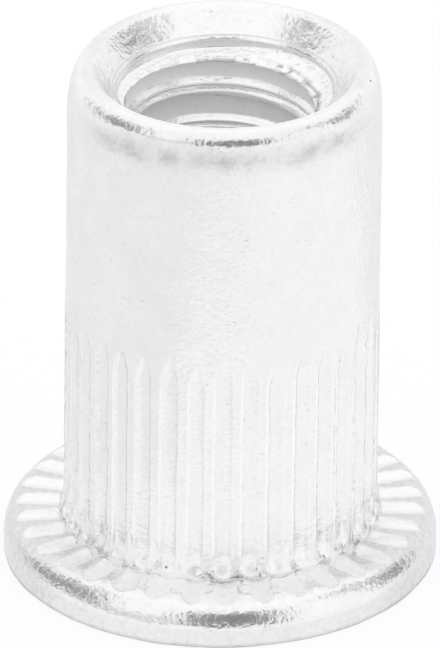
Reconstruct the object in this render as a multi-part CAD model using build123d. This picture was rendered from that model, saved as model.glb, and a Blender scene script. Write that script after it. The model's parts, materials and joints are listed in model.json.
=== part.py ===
from build123d import *
import os
from math import cos, radians, sin, tan

# A rivet nut, M6: one sleeve, cold formed and zinc plated. It stands on its flange at z = 0 and
# its axis is the Z axis. A thin-walled shank rises from the flange and ends in the threaded
# length, whose countersunk mouth is the rim at the top. Sizes are in millimetres.

# Sleeve
BODY_D = 9.0  # outside of the shank
LENGTH = 15.6  # flange face to rim
MINOR_D = 5.0  # bore at the crests of the M6 x 1 thread
COUNTERBORE_D = 6.6  # inside of the thin wall that folds when the nut is set
COUNTERBORE_DEPTH = 8.6  # flange face to the end of the thin wall
STEP_ANGLE = 45.0  # cone from the thin wall to the threaded bore, from the horizontal
ENTRY_CHAMFER = 0.25  # at the flange face, where the screw goes in

# Rim and mouth of the threaded end
SHOULDER_WIDTH = 0.5  # how far the rounded outer corner reaches in from the shank's wall
SHOULDER_HEIGHT = 1.4  # and how far down the shank it starts
CREST_ROUND = 0.3  # radius from the crest of the rim into the countersink
COUNTERSINK_ANGLE = 50.0  # slope of the countersink, from the horizontal
LIP_HEIGHT = 0.25  # upright wall below the countersink's lower edge
LEAD_WIDTH = 0.75  # lead between that wall and the thread's crests
LEAD_ANGLE = 34.0

# Flange
FLANGE_D = 12.5
FLANGE_THICKNESS = 1.35
MARGIN_WIDTH = 0.24  # sloping band outside the flat bearing face
MARGIN_ANGLE = 30.0  # its slope, from the horizontal
FLANGE_ROUND = 0.52  # outer corner below the margin
FACE_CHAMFER = 0.1  # outer corner on the resting face
FOOT_CHAMFER = 0.05  # between the flange and the shank

# Serrations in the flange, on the face that bears on the sheet
SCOOP_COUNT = 34
SCOOP_START = -3.2  # degrees from +X to the first one
SCOOP_WIDTH = 0.62
SCOOP_DEPTH = 0.12
SCOOP_GAP = 0.16  # plain ring between the shank and the scoops

# Knurl: straight flutes pressed into the shank from the threaded end
FLUTE_COUNT = 36
FLUTE_WIDTH = 0.42
FLUTE_DEPTH = 0.08
FLUTE_TOP = 8.75  # height of the pointed run-out
FLUTE_RUNOUT = 0.85  # length of the run-out
FLUTE_GAP = 0.02  # from the chamfer at the foot of the shank up to the flutes
FOOT_RISE = 0.1  # how far a flute's foot curves up at its sides

BODY_R = BODY_D / 2
MINOR_R = MINOR_D / 2
COUNTERBORE_R = COUNTERBORE_D / 2
FLANGE_R = FLANGE_D / 2

# A rim's rounds and a flange's margin are never more than their wall leaves room for.
RIM_SHARE = 0.4
FLANGE_SHARE = 0.4
RIM_WALL = BODY_R - MINOR_R - LEAD_WIDTH
FLANGE_REACH = FLANGE_R - BODY_R


def flange_outline():
    """From the bore's edge on the resting face, round the flange and in to the shank."""
    slope = radians(MARGIN_ANGLE)
    corner = min(FLANGE_ROUND, FLANGE_SHARE * FLANGE_REACH, FLANGE_SHARE * FLANGE_THICKNESS)
    margin = min(MARGIN_WIDTH, FLANGE_SHARE * FLANGE_REACH)
    margin_end = (FLANGE_R - corner * (1 - sin(slope)), FLANGE_THICKNESS - margin * tan(slope))
    side_top = (FLANGE_R, margin_end[1] - corner * cos(slope))
    Polyline(
        (COUNTERBORE_R + ENTRY_CHAMFER, 0),
        (FLANGE_R - FACE_CHAMFER, 0),
        (FLANGE_R, FACE_CHAMFER),
        side_top,
    )
    TangentArc(side_top, margin_end, tangent=(0, 1))
    Polyline(
        margin_end,
        (margin_end[0] - margin, FLANGE_THICKNESS),
        (BODY_R + FOOT_CHAMFER, FLANGE_THICKNESS),
        (BODY_R, FLANGE_THICKNESS + FOOT_CHAMFER),
    )


def shank_outline():
    """From the flange up the shank and over its shoulder; gives the radius of the rim's crest."""
    shoulder_width = min(SHOULDER_WIDTH, RIM_SHARE * RIM_WALL)
    shoulder_foot = LENGTH - SHOULDER_HEIGHT
    crest_r = BODY_R - shoulder_width
    Line((BODY_R, FLANGE_THICKNESS + FOOT_CHAMFER), (BODY_R, shoulder_foot))
    EllipticalCenterArc(
        (crest_r, shoulder_foot),
        x_radius=shoulder_width,
        y_radius=SHOULDER_HEIGHT,
        start_angle=0,
        arc_size=90,
    )
    return crest_r


def bore_outline(crest_r):
    """From the rim's crest down the countersink, the threaded bore and the counterbore."""
    slope = radians(COUNTERSINK_ANGLE)
    crest_round = min(CREST_ROUND, RIM_SHARE * RIM_WALL)
    sink = (crest_r - crest_round * sin(slope), LENGTH - crest_round * (1 - cos(slope)))
    mouth_r = MINOR_R + LEAD_WIDTH
    mouth_z = sink[1] - (sink[0] - mouth_r) * tan(slope)
    lip_foot = mouth_z - LIP_HEIGHT
    lead_foot = lip_foot - LEAD_WIDTH * tan(radians(LEAD_ANGLE))
    step_height = (COUNTERBORE_R - MINOR_R) * tan(radians(STEP_ANGLE))
    TangentArc((crest_r, LENGTH), sink, tangent=(-1, 0))
    Polyline(
        sink,
        (mouth_r, mouth_z),
        (mouth_r, lip_foot),
        (MINOR_R, lead_foot),
        (MINOR_R, COUNTERBORE_DEPTH + step_height),
        (COUNTERBORE_R, COUNTERBORE_DEPTH),
        (COUNTERBORE_R, ENTRY_CHAMFER),
        (COUNTERBORE_R + ENTRY_CHAMFER, 0),
    )


def sleeve():
    """The turned form: one closed section carried round the Z axis."""
    with BuildSketch(Plane.XZ) as section:
        with BuildLine():
            flange_outline()
            bore_outline(shank_outline())
        make_face()
    return revolve(section.sketch, Axis.Z)


def flute():
    """One flute's cutter: curved at the foot, pointed and rising to the surface at the top."""
    half = FLUTE_WIDTH / 2
    foot = FLANGE_THICKNESS + FOOT_CHAMFER + FLUTE_GAP
    runout = FLUTE_TOP - FLUTE_RUNOUT
    floor_r = BODY_R - FLUTE_DEPTH
    clear_r = BODY_R + FLUTE_DEPTH
    foot_sides = ((half, foot + FOOT_RISE), (-half, foot + FOOT_RISE))
    with BuildSketch(Plane.YZ) as outline:
        with BuildLine():
            Polyline(foot_sides[0], (half, runout), (0, FLUTE_TOP), (-half, runout), foot_sides[1])
            ThreePointArc(foot_sides[1], (0, foot), foot_sides[0])
        make_face()
    with BuildSketch(Plane.XZ) as depth:
        with BuildLine():
            Polyline(
                (floor_r, foot),
                (floor_r, runout),
                (BODY_R, FLUTE_TOP),
                (clear_r, FLUTE_TOP),
                (clear_r, foot),
                close=True,
            )
        make_face()
    return extrude(outline.sketch, amount=clear_r) & extrude(depth.sketch, amount=half, both=True)


def scoop():
    """One serration's cutter: a round bar laid along the radius, kept clear of the shank."""
    bar_r = (SCOOP_WIDTH**2 / 4 + SCOOP_DEPTH**2) / (2 * SCOOP_DEPTH)
    bar_z = FLANGE_THICKNESS - SCOOP_DEPTH + bar_r
    bar = Location((FLANGE_R / 2, 0, bar_z), (0, 90, 0)) * Cylinder(bar_r, FLANGE_R)
    return bar - Location((0, 0, bar_z)) * Cylinder(BODY_R + SCOOP_GAP, 3 * bar_r)


def rivet_nut():
    cutters = [turn * flute() for turn in PolarLocations(0, FLUTE_COUNT)]
    cutters += [turn * scoop() for turn in PolarLocations(0, SCOOP_COUNT, SCOOP_START)]
    return sleeve() - cutters


os.makedirs("parts", exist_ok=True)
export_step(rivet_nut(), "parts/rivet_nut.step")
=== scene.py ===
import json
import bpy
import numpy as np
from mathutils import Matrix, Vector


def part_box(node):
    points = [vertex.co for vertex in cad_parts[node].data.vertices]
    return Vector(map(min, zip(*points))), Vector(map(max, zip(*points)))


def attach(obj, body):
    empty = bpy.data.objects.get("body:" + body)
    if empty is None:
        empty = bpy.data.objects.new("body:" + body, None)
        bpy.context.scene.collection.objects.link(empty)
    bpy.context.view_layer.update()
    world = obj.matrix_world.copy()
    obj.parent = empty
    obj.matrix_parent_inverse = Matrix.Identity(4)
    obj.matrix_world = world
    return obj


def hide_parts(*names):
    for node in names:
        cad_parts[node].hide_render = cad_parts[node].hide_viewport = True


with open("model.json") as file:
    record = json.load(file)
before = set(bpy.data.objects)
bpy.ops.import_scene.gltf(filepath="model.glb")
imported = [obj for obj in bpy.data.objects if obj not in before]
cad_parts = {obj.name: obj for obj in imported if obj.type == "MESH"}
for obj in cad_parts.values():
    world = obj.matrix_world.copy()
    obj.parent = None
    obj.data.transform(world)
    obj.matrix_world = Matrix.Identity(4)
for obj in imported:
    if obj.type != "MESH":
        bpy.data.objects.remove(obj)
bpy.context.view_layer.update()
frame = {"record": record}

# An M6 rivet nut in bright zinc plate, standing on its flange. Its surface is one closed skin:
# rings of points round the Z axis, from the resting face out round the flange, up the knurled
# shank, over the rim and down the threaded bore. Shapes are worked out in millimetres. Angles
# run from +X, and the camera stands on the side of -Y, the front.
MM = 0.001
MOUNTS = {mount["name"]: mount for mount in frame["record"]["mounts"]}
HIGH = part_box("rivet_nut")[1]
LENGTH = HIGH.z / MM
FLANGE_R = HIGH.x / MM
BODY_R = MOUNTS["shank"]["dims"]["r_mm"]
MINOR_R = MOUNTS["thread"]["dims"]["r_mm"]
COUNTERBORE_R = MOUNTS["counterbore"]["dims"]["r_mm"]
FLANGE_TOP = MOUNTS["bearing_face"]["pos_m"][2] / MM

# Flange
UNDERSIDE_R = 5.2  # inner ring of the underside
EDGE_ROUND = 0.1  # lower corner
SIDE_LOW, SIDE_HIGH = 0.18, 0.42  # heights of the first rings above that corner
BROW_WIDTH, BROW_HEIGHT = 0.7, 0.88  # upper corner
BROW_END = 78.0  # where the corner meets the face, degrees round it
FLANGE_SHARE = 0.9985  # the worn edge stays within this share of the flange's radius
FACE_OUTER_R, FACE_INNER_R = 5.6, 4.66
CRUSH_DEPTH = 0.03  # how uneven the front of the face is
SEAM_RINGS = np.array([[0.03, 0.01], [0.05, 0.02], [0.07, 0.03]])  # further in and down

# Serrations
SCOOP_COUNT = 34
SCOOP_DEPTH = 0.12
FRONT_DEPTH = 0.9  # how much of that depth the serrations at the front have
SCOOP_HALF = 0.34  # half the width of a serration
SCOOP_POWER = 1.6
SCOOP_TURN = -3.2  # where the serrations start, degrees
SCOOP_COLUMNS = 15
SCOOP_BLEND = 0.01  # how rounded their edges are

# Knurl
FLUTE_COUNT = 36
FLUTE_TURN = 0.45  # where the flutes start, degrees
FLUTE_HALF = 0.25  # half the width of a flute
FLUTE_DEPTH = 0.075
FLUTE_FOOT, FLUTE_TIP = 1.42, 8.55  # heights of a flute's ends
FLUTE_RUNOUT = 0.85  # length of its point
FOOT_SHARE = 0.12  # a flute's depth at its foot, as a share
LIP_HEIGHT, FOOT_LIP_HEIGHT = 0.03, 0.05  # the raised edge of a flute
LIP_OUT, LIP_WIDTH = 0.02, 0.036  # how far outside the flute's outline it stands
KNURL_TOP = 9.25
# Columns over half a flute's pitch, as shares of it: crowded at the flute's edge.
FLUTE_COLUMNS = np.array([0, 0.32, 0.48, 0.56, 0.62, 0.68, 0.75, 0.86, 1.0])
CROWD_END = 0.75  # columns up to this share draw together at the flute's tip
FOOT_RINGS = np.array([[4.58, 1.27], [4.585, 1.30], [4.583, 1.325]])  # radius and height
FLARE_TOP = 1.85  # the shank swells towards its foot below this height
FLARE_HEIGHT = 0.45
FLARE = 0.07
# These feet are painted white, a painted highlight
LIT_TURN = -85  # the two flutes nearest this angle have plain white feet
WAVY_TURN = 219  # angle of the flute with a wavy edge

# Rim, countersink and thread
PLAIN_COLUMNS = 240
SHOULDER_WIDTH, SHOULDER_HEIGHT = 0.52, 1.4
TIGHT_ROUND = 0.44  # the shoulder's radius at the front
CREST_ROUND = 0.35
CREST_SLOPE = 46.0  # how far the crest's round goes over its top, degrees
BURR_TURN, BURR_R = -25, 4.1
BURR_SPREAD, BURR_WIDTH = 3.2, 0.09  # along the crest in degrees, and across it
BURR_OUT, BURR_UP = 0.012, 0.07  # out as a share of the radius, and up
# Height and width of the band of painted shade under the front of the shoulder
FRONT_SHADE_HEIGHT, FRONT_SHADE_WIDTH = 14.75, 0.4
MOUTH_R = 3.2
MOUTH_HEIGHT = 14.93
LIP_STEP = 0.09  # from the mouth's edge in to the top of the lead
MOUTH_LIP = [14.885, 14.81, 14.4]  # heights at which the mouth's lip turns, from the top down
LEAD_FOOT, LEAD_RISE = 14.54, 0.17  # height where the lead slopes in, and its rise at the right
LEAD_SLOPE, LEAD_SLOPE_MORE = 0.24, 0.5  # how steep it is, and how much more at the right
LEAD_BLEND, THREAD_BLEND = 0.01, 0.012  # how rounded the corners are
RING_STEP, LOW_RING_STEP = 0.036, 0.07  # between the thread's rings, near the mouth and below
PITCH = 1.0
FLANK_AT = 12.58  # height of a flank's outer corner, on the side away from the front
# The thread down one pitch from a flank's outer corner, as shares of the pitch and radii: the
# flank, a rolled seam, the crest, and the next groove.
THREAD_SHARES = [0, 0.18, 0.21, 0.25, 0.28, 0.38, 0.42, 0.54, 0.60, 1.0]
THREAD_RADII = [2.80, 2.60, 2.62, 2.72, 2.68, 2.53, 2.54, 2.76, 2.94, 2.80]
STEP_TOP = 9.4  # top of the cone between the thin wall and the thread
CONE_START = 0.53  # how far below that the thread's rings end
BORE_COLUMNS = 144
BORE_TOP = 8.5  # first ring of the thin wall's inside
ENTRY_CHAMFER = 0.25

# Marks
SPOTS = [(4.2, -11, 15.45, 0.02), (4.5, -110, 1.56, 0.02)]  # dark: radius, angle, height, size
LEAN = 0.0108  # the shank stands a little out of square, towards +X

# Chance: fields as (size, seed), and layers of wear as (size, depth, seed)
SERRATION_SEED = 7
FLUTE_SEED = 11
# Lines of painted shade on the front of the flange's face
SHADE_NET = (0.4, 18)
CRUSH = (0.36, 3)
# Patches of painted white in the flange's seam
SEAM_WHITE_PATCHES = (0.6, 20)
EDGE_WAVES = (0.35, 3)
EDGE_NICKS = (0.16, 4)
WAVY_EDGE = (0.5, 14)
# Specks of painted shade on the feet of the flutes
FOOT_SHADE_SPECKS = (0.13, 17)
# Unevenness of the band of painted shade under the rim's front
FRONT_SHADE_NOISE = (0.4, 16)
THREAD_WAVES = (0.45, 12)
THREAD_NICKS = (0.2, 13)
# Specks of painted shade on the thread's top crest and on the lead
CREST_SHADE_SPECKS = (0.2, 15)
LEAD_SHADE_SPECKS = (0.1, 19)
FACE_WEAR = [(0.9, 0.010, 1), (0.22, 0.005, 2)]
SHANK_WEAR = [(0.8, 0.006, 5), (0.3, 0.004, 6)]
RIM_WEAR = [(1.4, 0.008, 8), (0.45, 0.009, 9), (0.2, 0.004, 10)]
LATTICE_COUNT = 29  # random heights along each side of the lattice, before they repeat
LATTICE_SHIFT = 100.0  # keeps the lattice's places positive

# Colours
ZINC_DIM = (0.91, 0.913, 0.917, 1)
ZINC = (0.95, 0.952, 0.955, 1)
# The colour of painted highlights, and the grey of painted shade
PAINTED_HIGHLIGHT_WHITE = (0.99, 0.99, 0.99, 1)
PAINTED_SHADE_GREY = (0.25, 0.25, 0.255, 1)
# Grey of the pits and of the grain in painted shade
PIT_AND_SHADE_GREY = (0.5, 0.5, 0.5, 1)
SPOT_GREY = (0.2, 0.2, 0.2, 1)
SPOT_FADE = 0.04

# Grain of the plating: noises as (scale per millimetre, detail)
FINE = (6.0, 2.0)
CLOUD = (1.1, 2.0)
PATCHES = (1.7, 2.0)
GRAIN = (13.0, 1.0)
PIT_SCALE = 3.4
PIT_STRETCH = (1, 1, 2.2)  # pits are flatter than they are wide
BUMP_DEPTH = 0.028 * MM

# Studio. Sheets lie over the floor: left, right, near and far edges from the nut's axis and
# height, in millimetres, and shade. Cards: middle, half width, low and high edge in degrees
# round the nut, and shade; middle 0 is the front.
CAMERA_LENS = 1000.0
CAMERA_RISE = 28.0
CAMERA_TARGET = (0.0, 0, 7.2)
CLIP_START = 0.01
SEEN_HEIGHT = 18.597
CARD_DISTANCE = 1.0
FLOOR_SIZE = 3.0
FLOOR_GLOW = 0.88
SHEETS = {
    "left_sheet": (-90, -8, -70, 60, 0.02, 0.89),
    "front_sheet": (-7, 9, -80, -24.5, 0.04, 0.92),
    "right_sheet": (9, 90, 8, 60, 0.02, 0.92),
    "back_sheet": (-8, 9, 8, 60, 0.02, 0.92),
}
CARDS = {
    "front_card": (6, 24, 0, 42, 0.2),
    "left_card": (-84, 18, 3, 33, 0.28),
    "left_tail": (-110, 9, 3, 14, 0.35),
    "high_left_card": (-86, 12, 35, 49, 0.42),
    "right_card": (101, 12, 3, 33, 0.28),
    "high_right_card": (86, 12, 35, 49, 0.42),
    "low_left_card": (-47, 24, 0, 8, 0.4),
    "back_card": (180, 42, 12, 42, 0.93),
}


def lattice(points, size, seed):
    """Random heights from -1 to 1 at the corners of a cubic lattice, blended smoothly between."""
    count = LATTICE_COUNT
    table = np.random.default_rng(seed).uniform(-1, 1, (count, count, count))
    place = points / size + LATTICE_SHIFT
    cell = np.floor(place).astype(int)
    part = place - cell
    part = part * part * (3 - 2 * part)
    total = np.zeros(points.shape[:-1])
    for corner in np.ndindex(2, 2, 2):
        weight = np.prod(np.where(corner, part, 1 - part), axis=-1)
        total += weight * table[tuple(np.moveaxis((cell + corner) % count, -1, 0))]
    return total


def rise(value, start, end):
    """0 up to the start, 1 from the end on, smooth between; the end may be the lower of them."""
    share = np.clip((value - start) / (end - start), 0, 1)
    return share * share * (3 - 2 * share)


def bell(value):
    """1 where the value is 0, falling to 0 on both sides."""
    return np.exp(-value * value)


def lower(a, b, blend):
    """The lower of two heights, with a rounded corner where they cross."""
    return -blend * np.logaddexp(-a / blend, -b / blend)


def facing(angle):
    """1 at the front, 0 at the sides and -1 at the back."""
    return -np.sin(angle)


def degrees_from(angle, middle):
    """How far an angle in radians is from a middle in degrees, from -180 to 180."""
    return (np.degrees(angle) - middle + 180) % 360 - 180


def straight(start, end, count):
    """Evenly spaced points of a straight line."""
    return np.linspace(start, end, count)


def arc(centre, radius, start, end, count):
    """Points of an ellipse: centre plus (width cos, height sin), from start to end in degrees."""
    turn = np.radians(np.linspace(start, end, count))[:, None]
    return np.array(centre) + radius * np.hstack([np.cos(turn), np.sin(turn)])


def turned(radius, height, angle):
    """Points of a turned surface: (radius cos angle, radius sin angle, height)."""
    radius, height, angle = np.broadcast_arrays(radius, height, angle)
    return np.stack([radius * np.cos(angle), radius * np.sin(angle), height], axis=-1)


def worn(points, layers):
    """Moves a grid along its own normals by random heights."""
    along = np.gradient(points, axis=0)
    around = np.roll(points, -1, axis=1) - np.roll(points, 1, axis=1)
    normal = np.cross(around, along)
    normal /= np.linalg.norm(normal, axis=-1, keepdims=True) + 1e-12
    lift = sum(depth * lattice(points, size, seed) for size, depth, seed in layers)
    return points + normal * lift[..., None]


def with_painted_light(points, frost=0.0):
    """Points with a fourth number, the painted light: 0 zinc, 1 painted highlight, 2 matt white,
    below 0 painted shade.
    """
    return np.dstack([points, np.broadcast_to(frost, points.shape[:-1])])


def even_angles(count):
    """Angles of evenly spaced columns round the nut."""
    return np.arange(count) * 2 * np.pi / count


def flange_face():
    """Underside, edge and serrated face of the flange, in to the foot of the shank.

    Across a serration the height is floor + depth (distance / half width)^1.6, and the face is
    the lower of that and the plain outline. The front of the face is crushed: it is uneven, and
    painted matt white with grey lines of painted shade.
    """
    brow = (FLANGE_R - BROW_WIDTH, FLANGE_TOP - BROW_HEIGHT)
    corner = arc(brow, (BROW_WIDTH, BROW_HEIGHT), 0, BROW_END, 13)
    outline = np.vstack([
        straight((UNDERSIDE_R, 0), (FLANGE_R - EDGE_ROUND, 0), 2)[:-1],
        arc((FLANGE_R - EDGE_ROUND, EDGE_ROUND), (EDGE_ROUND, EDGE_ROUND), -90, 0, 7)[:-1],
        straight((FLANGE_R, SIDE_LOW), (FLANGE_R, SIDE_HIGH), 3),
        corner,
        straight(corner[-1], (FACE_OUTER_R, FLANGE_TOP), 4)[1:],
        straight((FACE_OUTER_R, FLANGE_TOP), (FACE_INNER_R, FLANGE_TOP), 12)[1:],
    ])
    radius, height = outline[:, :1], outline[:, 1:]
    turn = even_angles(SCOOP_COUNT * SCOOP_COLUMNS)
    angle = turn + np.radians(SCOOP_TURN)
    front = rise(facing(angle), 0.8, 0.95)

    pitch = 2 * np.pi / SCOOP_COUNT
    number = np.round(turn / pitch).astype(int) % SCOOP_COUNT
    across = radius * (turn - np.round(turn / pitch) * pitch)
    chance = np.random.default_rng(SERRATION_SEED)
    depth = (SCOOP_DEPTH * chance.uniform(0.85, 1.15, SCOOP_COUNT))[number]
    depth = depth * (1 - (1 - FRONT_DEPTH) * front)
    half = (SCOOP_HALF * chance.uniform(0.94, 1.06, SCOOP_COUNT))[number]
    off_middle = chance.uniform(-0.03, 0.03, SCOOP_COUNT)[number]
    scoop = FLANGE_TOP - depth * (1 - np.abs((across - off_middle) / half) ** SCOOP_POWER)

    # The face: painted highlight in the serrations, painted matt white with grey lines of painted
    # shade at the front, painted shade on the ribs.
    on_face = rise(radius, 5.95, 5.75)
    inside = rise(height - scoop, 0, 0.03)
    side = rise(height, 0.8, 0.55)
    near_front = rise(facing(angle), 0.55, 0.75)
    rib_shade = (1 - inside) * (1 - front) * (1 - side) * rise(facing(angle), 0.93, 0.63)
    shade_net = bell(lattice(turned(radius, 0, angle), *SHADE_NET) / 0.14)
    frost = on_face * np.maximum(inside * (1 + 0.8 * near_front), (2 - 2.2 * shade_net) * front)
    # The edge: a painted highlight on the brow at the front, painted shade on the side band and a
    # dark line of painted shade below it.
    white = rise(facing(angle), 0.5, 0.8)
    edge_shade_line = rise(height, 0.1, 0.05) * (radius > 6)
    frost = frost - 0.55 * rib_shade - 0.8 * edge_shade_line
    frost = frost + 0.6 * white * (1 - on_face) * (1 - side) - (0.65 - 0.3 * white) * side

    face = turned(radius, lower(height, scoop, SCOOP_BLEND), angle)
    crush = CRUSH_DEPTH * front * rise(radius, 5.9, 5.6)
    face[..., 2] += crush * lattice(face * (1, 1, 0), *CRUSH)
    face[1:] = worn(face, FACE_WEAR)[1:]
    face[..., 2] = np.maximum(face[..., 2], 0)
    reach = np.hypot(face[..., 0], face[..., 1])
    face[..., :2] *= np.minimum(1, FLANGE_SHARE * FLANGE_R / reach)[..., None]
    inward, down = SEAM_RINGS[:, :1], SEAM_RINGS[:, 1:]
    gap = turned(FACE_INNER_R - inward, face[-1, :, 2] - down, angle)
    # Patches of painted matt white in the seam's crease, which lift its shade
    light = 1.8 * rise(lattice(gap, *SEAM_WHITE_PATCHES), -0.2, 0.1)
    return np.concatenate([with_painted_light(face, frost), with_painted_light(gap, light)])


def knurl():
    """The fluted shank. A flute's outline is two straight sides, a round foot and a point.

    The surface is the shank's radius, less the flute's depth inside its outline, plus a lip
    along it: both are functions of the distance to the outline. The lip is strongest on the
    flute's left side and carries a painted highlight, with a faint line of painted shade just
    inside it above the feet. The feet are painted white and partly matt, with specks of painted
    shade, and plain painted white at the front.
    """
    foot_r, foot_height = FOOT_RINGS.T
    rows = np.concatenate([
        foot_height,
        [1.345, 1.38, 1.41, 1.44, 1.47, 1.51, 1.56, 1.62, 1.70, 1.80, 1.95, 2.15],
        np.arange(2.4, 7.45, 0.28),
        np.arange(7.5, KNURL_TOP + 0.01, 0.11),
    ])[:, None, None]
    chance = np.random.default_rng(FLUTE_SEED)
    tip = FLUTE_TIP + chance.uniform(-0.28, 0.2, FLUTE_COUNT)
    low = FLUTE_FOOT + chance.uniform(-0.02, 0.03, FLUTE_COUNT)
    width = FLUTE_HALF * chance.uniform(0.92, 1.08, FLUTE_COUNT)
    pitch = 2 * np.pi / FLUTE_COUNT
    wander = 0.04 * chance.uniform(-1, 1, FLUTE_COUNT)
    centre = np.radians(FLUTE_TURN) + pitch * (np.arange(FLUTE_COUNT) + wander)

    # The columns follow the outline: they draw together where the flute narrows to its tip.
    share = np.concatenate([-FLUTE_COLUMNS[:0:-1], FLUTE_COLUMNS[:-1]])
    taper = np.clip((tip[:, None] - rows) / FLUTE_RUNOUT, 0.1, 1)
    taper = np.maximum(taper, rise(rows - tip[:, None], 0, 0.45))
    crowd_end = CROWD_END * taper
    beyond = (np.abs(share) - CROWD_END) * (1 - crowd_end) / (1 - CROWD_END)
    outer = np.sign(share) * (crowd_end + beyond)
    offset = np.where(np.abs(share) < CROWD_END, share * taper, outer) * pitch / 2
    angle = centre[:, None] + offset
    across = np.abs(offset) * BODY_R

    place = turned(BODY_R, rows, angle)
    half = width[:, None] + 0.02 * lattice(place * (1, 1, 0.4), *EDGE_WAVES)
    half = half + 0.014 * lattice(place, *EDGE_NICKS)
    wavy = np.abs(degrees_from(centre, WAVY_TURN))[:, None] < 5
    half = half + 0.09 * wavy * lattice(place, *WAVY_EDGE)
    round_foot = low[:, None] + half
    to_tip = tip[:, None] - rows
    sides = np.maximum(across - half, across - half * to_tip / FLUTE_RUNOUT)
    circle = np.hypot(across, round_foot - rows) - half
    distance = np.where(rows < round_foot, circle, sides)

    low_down = rise(rows, 1.8, 1.4)
    from_lit = np.abs(degrees_from(angle, LIT_TURN))
    off_centre = rise(from_lit, 8, 16)
    present = rise(to_tip, -0.1, 0.2)
    depth = FLUTE_DEPTH * rise(distance, 0, -0.12) * rise(to_tip, 0, 0.8)
    depth = depth * (FOOT_SHARE + (1 - FOOT_SHARE) * rise(rows, 1.45, 1.95))
    strong = np.where(offset < 0, 1, 0.3 + 0.6 * low_down)
    strong = strong * chance.uniform(0.6, 1, (FLUTE_COUNT, 1))
    strong = np.maximum(strong, 1.2 * low_down * (1 - off_centre))
    lip = bell((distance - LIP_OUT) / LIP_WIDTH) * present * strong * rise(to_tip, 0, 1.4)
    lip_height = LIP_HEIGHT + (FOOT_LIP_HEIGHT - LIP_HEIGHT) * low_down

    radius = BODY_R + FLARE * (np.maximum(FLARE_TOP - rows, 0) / FLARE_HEIGHT) ** 2
    radius = radius - depth + lip_height * lip
    radius[: len(foot_r)] = foot_r[:, None, None]
    points = turned(radius, rows, angle).reshape(len(rows), -1, 3)
    points = worn(points, SHANK_WEAR)

    # Painted light: a painted highlight along each lip, a faint line of painted shade just inside
    # it, painted white feet that are partly matt, and specks of painted shade on the feet away from
    # the front
    inner_shade_line = bell((distance + 0.03) / 0.025) * present
    inside = rise(distance, 0, -0.02)
    near_edge = rise(np.abs(distance), 0.05, 0.025) * low_down
    foot_highlight = np.maximum(2 * near_edge, 1.68 * inside * rise(rows, 2.05, 1.9))
    foot_white_paint = (1.7 - 0.4 * rise(from_lit, 35, 55)) * rise(rows, 2.5, 1.8)
    foot_white_paint = np.maximum(1.7 * inside * rise(rows, 1.66, 1.6), foot_white_paint)
    frost = 2 * lip - 0.1 * (1 - low_down) * inner_shade_line
    frost = np.maximum(frost, foot_highlight * (1 - off_centre))
    frost = np.maximum(frost, foot_white_paint * off_centre).reshape(len(rows), -1)
    foot_shade_speck = rise(lattice(points * (1, 1, 0.4), *FOOT_SHADE_SPECKS), 0.22, 0.42)
    foot_shade_speck = foot_shade_speck * rise(rows[:, 0], 1.9, 1.65) * off_centre.reshape(len(rows), -1)
    return with_painted_light(points, frost - 1.9 * foot_shade_speck)


def rim():
    """Plain end of the shank, its shoulder, the crest and the countersink.

    The shoulder's section is a quarter ellipse, wide and tall at the sides and the back and
    tight at the front; the countersink is straight from the crest's round to the mouth. A
    small burr stands on the crest. Painted highlights lie on the burr, along the crest at the
    front and on the countersink at the back, and a band of painted shade lies on the shank
    under the front of the shoulder.
    """
    angle = even_angles(PLAIN_COLUMNS)
    tight = rise(facing(angle), 0.2, 0.8)
    width = SHOULDER_WIDTH + (TIGHT_ROUND - SHOULDER_WIDTH) * tight
    height = SHOULDER_HEIGHT + (TIGHT_ROUND - SHOULDER_HEIGHT) * tight
    crest_r = BODY_R - width
    start = KNURL_TOP + 0.1
    up = np.linspace(0, 1, 30)[:, None]
    turn = np.radians(np.linspace(0, 90, 18))[1:, None]
    over = np.radians(np.linspace(90, 90 + CREST_SLOPE, 8))[1:, None]
    down = np.linspace(0, 1, 12)[1:, None]
    crest_end = crest_r + CREST_ROUND * np.cos(over[-1])
    crest_low = LENGTH - CREST_ROUND * (1 - np.sin(over[-1]))
    zeros = np.zeros_like(width)
    radius = np.concatenate([
        BODY_R + up * zeros,
        crest_r + width * np.cos(turn),
        crest_r + CREST_ROUND * np.cos(over),
        crest_end + (MOUTH_R + 0.02 - crest_end) * down,
    ])
    level = np.concatenate([
        start + (LENGTH - height - start) * up,
        LENGTH - height + height * np.sin(turn),
        LENGTH - CREST_ROUND * (1 - np.sin(over)) + zeros,
        crest_low + (MOUTH_HEIGHT - crest_low) * down + zeros,
    ])
    points = worn(turned(radius, level, angle), RIM_WEAR)
    burr = bell(degrees_from(angle, BURR_TURN) / BURR_SPREAD)
    burr = burr * bell((radius - BURR_R) / BURR_WIDTH)
    burr = burr * (level > 15)
    points[..., :2] *= 1 + BURR_OUT * burr[..., None]
    points[..., 2] += BURR_UP * burr
    points[..., 2] = np.minimum(points[..., 2], LENGTH)

    # Painted light: painted highlights along the crest at the front, on the countersink at the back
    # and on the burr, and a band of painted shade under the front of the shoulder
    ring = tight * bell((radius - crest_r) / 0.2) * rise(level, 15.2, 15.5)
    front_shade = tight * bell((level - FRONT_SHADE_HEIGHT) / FRONT_SHADE_WIDTH)
    front_shade = front_shade * (0.8 + 0.4 * lattice(points, *FRONT_SHADE_NOISE))
    far_sink_highlight = rise(facing(angle), -0.72, -1) * rise(radius, 4.1, 4.0)
    bright = np.maximum(np.maximum(1.3 * ring, far_sink_highlight), 2 * burr)
    return with_painted_light(points, bright - 0.85 * front_shade)


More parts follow.
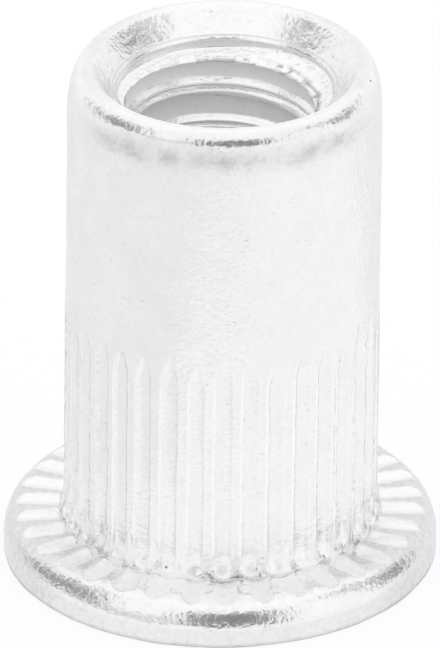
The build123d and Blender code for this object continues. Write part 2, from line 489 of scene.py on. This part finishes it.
def thread():
    """The mouth's lip, the lead and the thread, a right-hand helix.

    The radius is the greater of two outlines: the lead's at its height, and the screw's at
    (height - pitch turn), which climbs a pitch in each turn. The rings of the grid tilt with
    the helix between the mouth and the cone.
    """
    rows = np.concatenate([
        np.arange(MOUTH_HEIGHT - 0.01, 12.3, -RING_STEP),
        np.arange(12.28, 8.9, -LOW_RING_STEP),
    ])[:, None]
    angle = even_angles(PLAIN_COLUMNS)
    follow = rise(rows, 14.55, 14.15) * rise(rows, 9, 10.5)
    rows = rows - follow * PITCH / (2 * np.pi) * np.cos(angle)

    right = rise(np.cos(angle), 0.1, 0.8) * rise(np.sin(angle), -0.4, 0.2)
    lip_foot = LEAD_FOOT + LEAD_RISE * right
    slope = LEAD_SLOPE + LEAD_SLOPE_MORE * right
    lead_r = MOUTH_R - LIP_STEP
    lip = np.interp(-rows, [-height for height in MOUTH_LIP], [MOUTH_R, lead_r, lead_r - 0.01])
    lead = lower(lip, lead_r - (lip_foot - rows) / slope, LEAD_BLEND)
    lead = np.maximum(lead, MINOR_R + STEP_TOP - rows)
    first_turn_lift = 0.2 * rise(rows, 12.8, 13.4)
    climb = PITCH * (angle - np.pi / 2) / (2 * np.pi)
    drop = (FLANK_AT + climb - (rows - first_turn_lift)) % PITCH
    screw = np.interp(drop, THREAD_SHARES, THREAD_RADII)
    radius = -lower(-lead, -screw, THREAD_BLEND)

    steep = np.abs(np.gradient(radius, axis=0) / np.gradient(rows, axis=0))
    rough = rise(radius, 2.8, 2.65) + rise(rows, 14.3, 14.4) * rise(radius, 3.1, 3.0)
    rough = np.minimum(rough, 1)
    place = turned(radius, rows, angle)
    high = rise(rows, 13.9, 14.2)
    noise = (0.006 + 0.010 * high) * lattice(place, *THREAD_WAVES)
    noise = noise + 0.024 * high * lattice(place, *THREAD_NICKS)
    radius = radius + rough * noise

    # Painted light: matt white where the thread is not steep and highlight-coloured metal on its
    # steep flanks, specks of painted shade on the crest and the lead, and painted shade on the
    # mouth's lip
    crest_shade_speck = rough * high * rise(rows, 14.5, 14.4)
    crest_shade_speck = crest_shade_speck * rise(lattice(place, *CREST_SHADE_SPECKS), -0.05, 0.15)
    lead_shade_speck = rise(rows, 14.35, 14.45) * rise(rows - lip_foot, 0.02, -0.01)
    lead_shade_speck = lead_shade_speck * bell((radius - 2.98) / 0.1) * rise(np.cos(angle), -0.3, -0.1)
    lead_shade_speck = 0.6 * lead_shade_speck * rise(lattice(place, *LEAD_SHADE_SPECKS), 0.08, 0.28)
    lip_shade = rise(radius, 3.05, 3.08) * rise(rows, 14.88, 14.84)
    grey = 2.3 * np.maximum(crest_shade_speck, lead_shade_speck) + 0.6 * lip_shade
    return with_painted_light(turned(radius, rows, angle), 2 - rise(steep, 0.7, 1.1) - grey)


def bore():
    """The cone, the thin wall's inside and the chamfer where the screw goes in."""
    cone_foot = STEP_TOP - COUNTERBORE_R + MINOR_R
    entry = COUNTERBORE_R + ENTRY_CHAMFER
    outline = np.vstack([
        straight((MINOR_R + CONE_START, STEP_TOP - CONE_START), (COUNTERBORE_R, cone_foot), 3),
        straight((COUNTERBORE_R, BORE_TOP), (COUNTERBORE_R, ENTRY_CHAMFER + 0.02), 8),
        straight((COUNTERBORE_R + 0.01, ENTRY_CHAMFER), (entry, 0), 3),
    ])
    # Painted light: the bore takes the painted highlight colour and is half matt white
    return with_painted_light(turned(outline[:, :1], outline[:, 1:], even_angles(BORE_COLUMNS)), 1.5)


def middles(ring):
    """Angle of the middle of each edge of a ring."""
    angle = np.unwrap(np.arctan2(ring[:, 1], ring[:, 0]))
    return (angle + np.append(angle[1:], angle[0] + 2 * np.pi)) / 2


def nearest(wanted, edges):
    """Index of the ring's point that stands between the two edge middles round each angle."""
    turn = 2 * np.pi
    wrapped = edges[-1] - turn + (wanted - edges[-1]) % turn
    return np.searchsorted(edges, wrapped) % len(edges)


def seam(first, last, start_a, start_b):
    """Triangles between two rings: each edge of one joins the point of the other at its middle."""
    middle_a = middles(first)
    middle_b = middles(last) + 1e-7  # a hair's turn, so that no two middles are level
    a, b = np.arange(len(first)), np.arange(len(last))
    after_a, after_b = (a + 1) % len(a), (b + 1) % len(b)
    under = [start_a + a, start_a + after_a, start_b + nearest(middle_a, middle_b)]
    over = [start_b + after_b, start_b + b, start_a + nearest(middle_b, middle_a)]
    return np.vstack([np.column_stack(under), np.column_stack(over)])


def skin(name, bands):
    """One closed mesh through grids of rings, each joined to the next and the last to the first.

    Above the flange each point moves by LEAN times its height over the flange, towards +X.
    """
    starts = np.cumsum([0] + [band.shape[0] * band.shape[1] for band in bands])
    faces = []
    for index, band in enumerate(bands):
        rows, columns = band.shape[:2]
        row, column = np.mgrid[0:rows - 1, 0:columns].reshape(2, -1)
        beside = (column + 1) % columns
        below, above = row * columns, (row + 1) * columns
        corners = [below + column, below + beside, above + beside, above + column]
        faces += (starts[index] + np.column_stack(corners)).tolist()
        after = (index + 1) % len(bands)
        last_row = starts[index] + (rows - 1) * columns
        faces += seam(band[-1], bands[after][0], last_row, starts[after]).tolist()
    numbers = np.concatenate([band.reshape(-1, 4) for band in bands])
    numbers[:, 0] += LEAN * np.maximum(numbers[:, 2] - FLANGE_TOP, 0)
    mesh = bpy.data.meshes.new(name)
    mesh.from_pydata((numbers[:, :3] * MM).tolist(), [], faces)
    mesh.shade_smooth()
    frost = mesh.attributes.new("frost", "FLOAT", "POINT")
    frost.data.foreach_set("value", numbers[:, 3].astype(np.float32))
    mesh.update()
    piece = bpy.data.objects.new(name, mesh)
    bpy.context.scene.collection.objects.link(piece)
    return piece


class Value:
    """A number or vector that varies over a surface: a node's output. Sums make Math nodes."""

    def __init__(self, graph, socket):
        self.graph = graph
        self.socket = socket

    def math(self, operation, first, second):
        return self.graph.node("ShaderNodeMath", {"operation": operation}, {0: first, 1: second})

    def __add__(self, other):
        return self.math("ADD", self, other)

    def __sub__(self, other):
        return self.math("SUBTRACT", self, other)

    def __rsub__(self, other):
        return self.math("SUBTRACT", other, self)

    def __mul__(self, other):
        return self.math("MULTIPLY", self, other)

    __radd__ = __add__
    __rmul__ = __mul__

    def ramp(self, low, high):
        """Smooth rise from 0 at low to 1 at high."""
        return self.graph.node(
            "ShaderNodeMapRange",
            {"interpolation_type": "SMOOTHSTEP"},
            {"Value": self, "From Min": low, "From Max": high},
        )


class Graph:
    """A material's nodes."""

    def __init__(self, owner):
        owner.use_nodes = True
        self.tree = owner.node_tree
        self.tree.nodes.clear()

    def node(self, kind, settings=None, inputs=None, output=0):
        made = self.tree.nodes.new(kind)
        for name, value in (settings or {}).items():
            setattr(made, name, value)
        for key, value in (inputs or {}).items():
            if isinstance(value, Value):
                self.tree.links.new(value.socket, made.inputs[key])
            else:
                made.inputs[key].default_value = value
        return Value(self, made.outputs[output]) if len(made.outputs) else None

    def blend(self, share, first, second):
        """First colour where the share is 0, second where it is 1."""
        inputs = {"Factor": share, "A": first, "B": second}
        return self.node("ShaderNodeMix", {"data_type": "RGBA"}, inputs, 2)

    def noise(self, place, scale, detail):
        inputs = {"Vector": place, "Scale": scale, "Detail": detail}
        return self.node("ShaderNodeTexNoise", None, inputs)


def zinc_plate():
    """Bright zinc: finely pitted, faintly cloudy, with painted highlights, matt white and painted
    shade.
    """
    material = bpy.data.materials.new("zinc_plate")
    graph = Graph(material)
    place = graph.node("ShaderNodeTexCoord", output="Object")
    place = graph.node("ShaderNodeVectorMath", {"operation": "SCALE"}, {0: place, "Scale": 1 / MM})
    frost = graph.node("ShaderNodeAttribute", {"attribute_name": "frost"}, None, "Fac")
    # The painted light: painted highlight colour from 0 to 1, matt white from 1 to 2, painted shade
    # grey below 0
    bright = frost.ramp(0.0, 1.0)
    matt = frost.ramp(1.0, 2.0)
    shade_amount = (0 - frost).ramp(0.0, 2.0)

    fine = graph.noise(place, *FINE)
    cloud = graph.noise(place, *CLOUD)
    patch = graph.noise(place, *PATCHES)
    tall = graph.node("ShaderNodeVectorMath", {"operation": "MULTIPLY"}, {0: place, 1: PIT_STRETCH})
    pit = graph.node("ShaderNodeTexVoronoi", None, {"Vector": tall, "Scale": PIT_SCALE})
    pit = (1 - pit.ramp(0.05, 0.42)) * patch.ramp(0.48, 0.66)
    tone = graph.blend(cloud.ramp(0.25, 0.75), ZINC_DIM, ZINC)
    tone = graph.blend(bright, tone, PAINTED_HIGHLIGHT_WHITE)
    tone = graph.blend(shade_amount, tone, PAINTED_SHADE_GREY)
    # Pits grey the tone, and so does a fine grain in the painted shade
    greyed = pit * 0.13 + fine.ramp(0.4, 0.8) * (0.07 + shade_amount * 1.39)
    tone = graph.blend(greyed, tone, PIT_AND_SHADE_GREY)
    for radius, angle, height, size in SPOTS:
        at = turned(radius, height, np.radians(angle))
        at = (at + (LEAN * (height - FLANGE_TOP), 0, 0)).tolist()
        away = graph.node("ShaderNodeVectorMath", {"operation": "DISTANCE"}, {0: place, 1: at}, 1)
        tone = graph.blend(away.ramp(size, size + SPOT_FADE), SPOT_GREY, tone)
    grain = graph.noise(place, *GRAIN)
    height = (fine + grain * 0.18 - pit * 0.25) * (1 - bright * 0.5)
    normal = graph.node(
        "ShaderNodeBump", None, {"Strength": 1.0, "Distance": BUMP_DEPTH, "Height": height})
    shader = graph.node("ShaderNodeBsdfPrincipled", None, {
        "Base Color": tone, "Metallic": 1 - matt, "Roughness": 0.2 + cloud * 0.1,
        "Normal": normal})
    graph.node("ShaderNodeOutputMaterial", None, {"Surface": shader})
    return material


def paper(name, shade):
    """A plain glowing card of one shade of grey."""
    material = bpy.data.materials.new(name)
    graph = Graph(material)
    tone = (shade, shade, shade, 1)
    glow = graph.node("ShaderNodeEmission", None, {"Color": tone, "Strength": 1.0})
    graph.node("ShaderNodeOutputMaterial", None, {"Surface": glow})
    return material


def white_floor():
    """White for the camera and in reflections, with a share of real light that keeps shadows."""
    material = bpy.data.materials.new("white_floor")
    graph = Graph(material)
    matt = graph.node("ShaderNodeBsdfDiffuse", None, {"Color": (1, 1, 1, 1)})
    glow = graph.node("ShaderNodeEmission", None, {"Color": (1, 1, 1, 1), "Strength": 1.0})
    direct = graph.node("ShaderNodeLightPath", output="Is Camera Ray")
    glossy = graph.node("ShaderNodeLightPath", output="Is Glossy Ray")
    transmission = graph.node("ShaderNodeLightPath", output="Is Transmission Ray")
    rays = direct + glossy + transmission
    seen = rays.math("MINIMUM", rays, 1.0)
    mixed = graph.node("ShaderNodeMixShader", None, {"Fac": seen * FLOOR_GLOW, 1: matt, 2: glow})
    graph.node("ShaderNodeOutputMaterial", None, {"Surface": mixed})
    return material


def panel(name, points, material):
    """A staged sheet from a grid of points."""
    rows, columns = points.shape[:2]
    row, column = np.mgrid[0:rows - 1, 0:columns - 1].reshape(2, -1)
    at = row * columns + column
    faces = np.column_stack([at, at + 1, at + columns + 1, at + columns])
    mesh = bpy.data.meshes.new(name)
    mesh.from_pydata(points.reshape(-1, 3).tolist(), [], faces.tolist())
    mesh.materials.append(material)
    sheet = bpy.data.objects.new(name, mesh)
    bpy.context.scene.collection.objects.link(sheet)
    return sheet


def only_mirrored(sheet):
    """Hides a sheet from everything but reflections."""
    sheet.visible_camera = False
    sheet.visible_diffuse = False
    sheet.visible_shadow = False


def card(name, middle, half, low, high, shade):
    """A grey card bent round the nut, which only reflections show."""
    around = np.radians(np.linspace(middle - half, middle + half, 25)) - np.pi / 2
    up = np.radians(np.linspace(low, high, 13))[:, None]
    points = CARD_DISTANCE * turned(np.cos(up), np.sin(up), around)
    only_mirrored(panel(name, points, paper(name, shade)))


def flat(left, right, near, far, height):
    """Corners of a level sheet: distances of its edges from the nut's axis, in millimetres."""
    x, y = np.meshgrid([left, right], [near, far])
    return np.stack([x, y, np.broadcast_to(height, x.shape)], axis=-1) * MM


def floor_sheet(name, left, right, near, far, height, shade):
    """A level grey sheet, which only reflections show."""
    only_mirrored(panel(name, flat(left, right, near, far, height), paper(name, shade)))


def studio():
    """White all round, a white floor, and grey cards that the bright metal mirrors."""
    world = bpy.data.worlds.new("studio")
    bpy.context.scene.world = world
    graph = Graph(world)
    sky = graph.node("ShaderNodeBackground", None, {"Color": (1, 1, 1, 1), "Strength": 1.0})
    graph.node("ShaderNodeOutputWorld", None, {"Surface": sky})
    reach = FLOOR_SIZE / MM
    panel("floor", flat(-reach, reach, -reach, reach, 0), white_floor())
    for name, sheet in SHEETS.items():
        floor_sheet(name, *sheet)
    for name, place in CARDS.items():
        card(name, *place)


def camera():
    """Looks down at the nut from the front with a long lens."""
    data = bpy.data.cameras.new("camera")
    data.lens = CAMERA_LENS
    distance = CAMERA_LENS * SEEN_HEIGHT * MM / data.sensor_width
    data.clip_start = CLIP_START
    tilt = np.radians(CAMERA_RISE)
    back = Vector((0, -np.cos(tilt), np.sin(tilt)))
    up = Vector((0, np.sin(tilt), np.cos(tilt)))
    basis = Matrix((up.cross(back), up, back)).transposed().to_4x4()
    viewer = bpy.data.objects.new("camera", data)
    viewer.matrix_world = Matrix.Translation(Vector(CAMERA_TARGET) * MM + back * distance) @ basis
    bpy.context.scene.collection.objects.link(viewer)
    bpy.context.scene.camera = viewer


nut = skin("rivet_nut_skin", [flange_face(), knurl(), rim(), thread(), bore()])
nut.data.materials.append(zinc_plate())
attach(nut, "root")
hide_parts("rivet_nut")
studio()
camera()
bpy.context.scene.view_settings.view_transform = "Standard"
